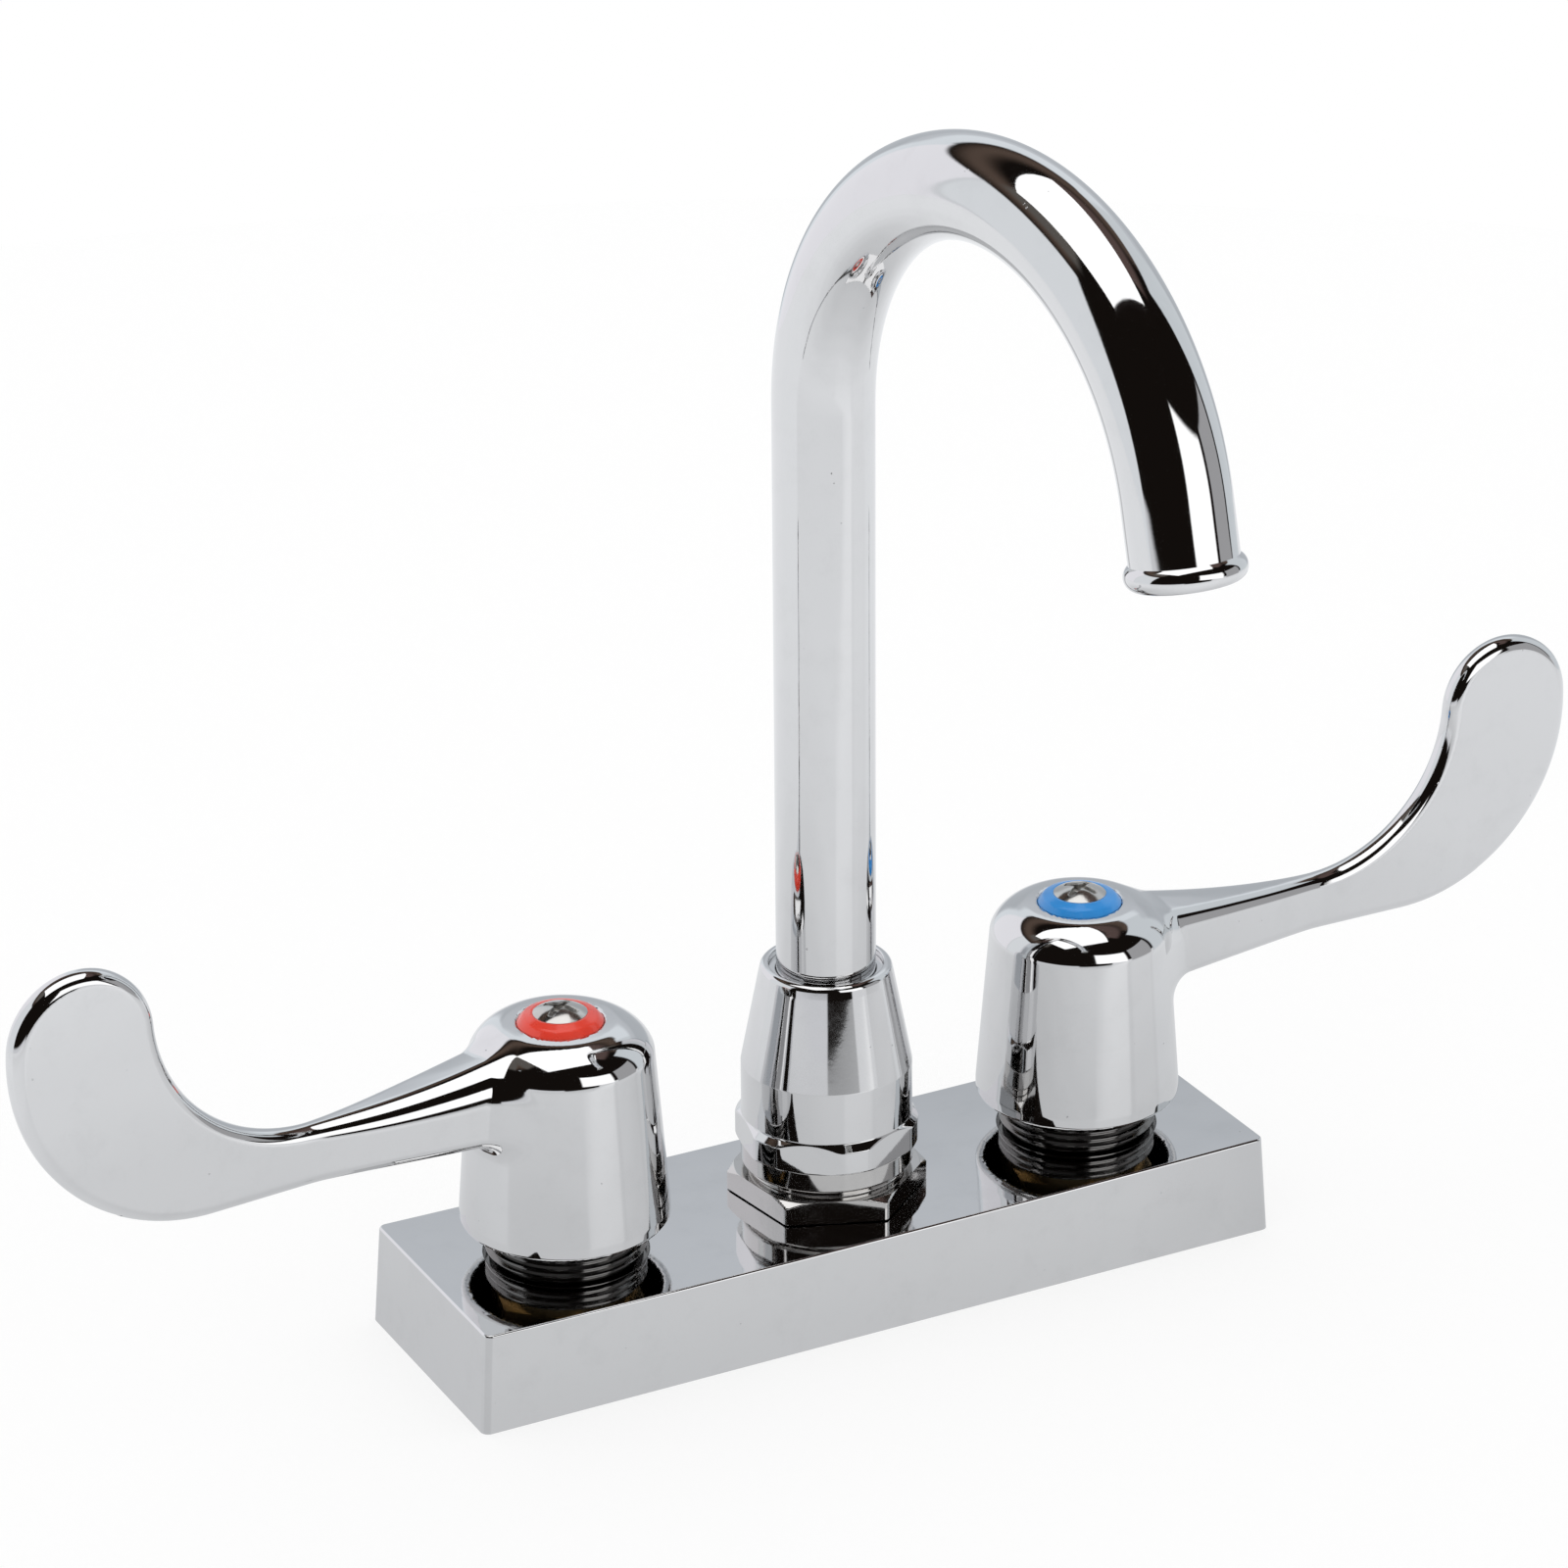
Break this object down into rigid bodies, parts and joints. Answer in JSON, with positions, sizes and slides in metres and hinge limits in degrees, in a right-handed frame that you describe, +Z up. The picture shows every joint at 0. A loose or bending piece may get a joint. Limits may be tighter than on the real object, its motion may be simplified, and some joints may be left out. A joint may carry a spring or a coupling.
{
  "type": "deck-mount faucet",
  "caption": "Chrome deck-mount faucet with a rigid gooseneck spout that swivels and two wrist blade handles on ceramic disc valves.",
  "frame": {"origin": "centre of the base's underside, on the deck", "axes": "+X towards the cold (blue) side, -Y towards the user, +Z up out of the deck"},
  "size_m": [0.3048, 0.1291, 0.2645],
  "materials": {
    "polished_chrome": "mirror polished",
    "adapter_chrome": "plated over turning marks",
    "neck_brass": "plated threads, as cast below",
    "plain_brass": "turned",
    "zinc_steel": "zinc plated",
    "screw_steel": "bright, satin recess",
    "black_rubber": "matt",
    "white_ceramic": "lapped ceramic",
    "white_nylon": "natural nylon",
    "red_plastic": "moulded, semi-gloss",
    "blue_plastic": "moulded, semi-gloss"
  },
  "bodies": {
    "root": {"deck_cover": "polished_chrome", "deck_gasket": "black_rubber", "waterway_body": "neck_brass", "spout_adapter": "adapter_chrome", "adapter_washer": "black_rubber", "spout_nut": "polished_chrome", "spout_guide_ring": "polished_chrome", "friction_washer": "white_nylon", "hot_shank": "plain_brass", "hot_lock_nut": "plain_brass", "hot_lock_washer": "zinc_steel", "hot_cartridge_body": "plain_brass", "hot_cartridge_o_ring": "black_rubber", "hot_seat_seal": "black_rubber", "hot_fixed_disc": "white_ceramic", "cold_shank": "plain_brass", "cold_lock_nut": "plain_brass", "cold_lock_washer": "zinc_steel", "cold_cartridge_body": "plain_brass", "cold_cartridge_o_ring": "black_rubber", "cold_seat_seal": "black_rubber", "cold_fixed_disc": "white_ceramic"},
    "hot_handle": {"hot_stem": "plain_brass", "hot_moving_disc": "white_ceramic", "hot_stem_o_ring": "black_rubber", "hot_stem_clip": "zinc_steel", "hot_handle": "polished_chrome", "hot_index_ring": "red_plastic", "hot_handle_screw": "screw_steel"},
    "cold_handle": {"cold_stem": "plain_brass", "cold_moving_disc": "white_ceramic", "cold_stem_o_ring": "black_rubber", "cold_stem_clip": "zinc_steel", "cold_handle": "polished_chrome", "cold_index_ring": "blue_plastic", "cold_handle_screw": "screw_steel"},
    "spout": {"spout_tube": "polished_chrome", "spout_shank": "plain_brass", "spout_o_rings": "black_rubber", "stream_straightener": "white_nylon"}
  },
  "joints": [
    {"name": "hot_handle_turn", "type": "hinge", "parent": "root", "child": "hot_handle", "pos_m": [-0.0508, 0, 0.045], "axis": [0, 0, 1], "range_deg": [-6.2, 83.8]},
    {"name": "cold_handle_turn", "type": "hinge", "parent": "root", "child": "cold_handle", "pos_m": [0.0508, 0, 0.045], "axis": [0, 0, 1], "range_deg": [-90, 0]},
    {"name": "spout_swivel", "type": "hinge", "parent": "root", "child": "spout", "pos_m": [0, 0, 0.045], "axis": [0, 0, 1], "continuous": true}
  ]
}
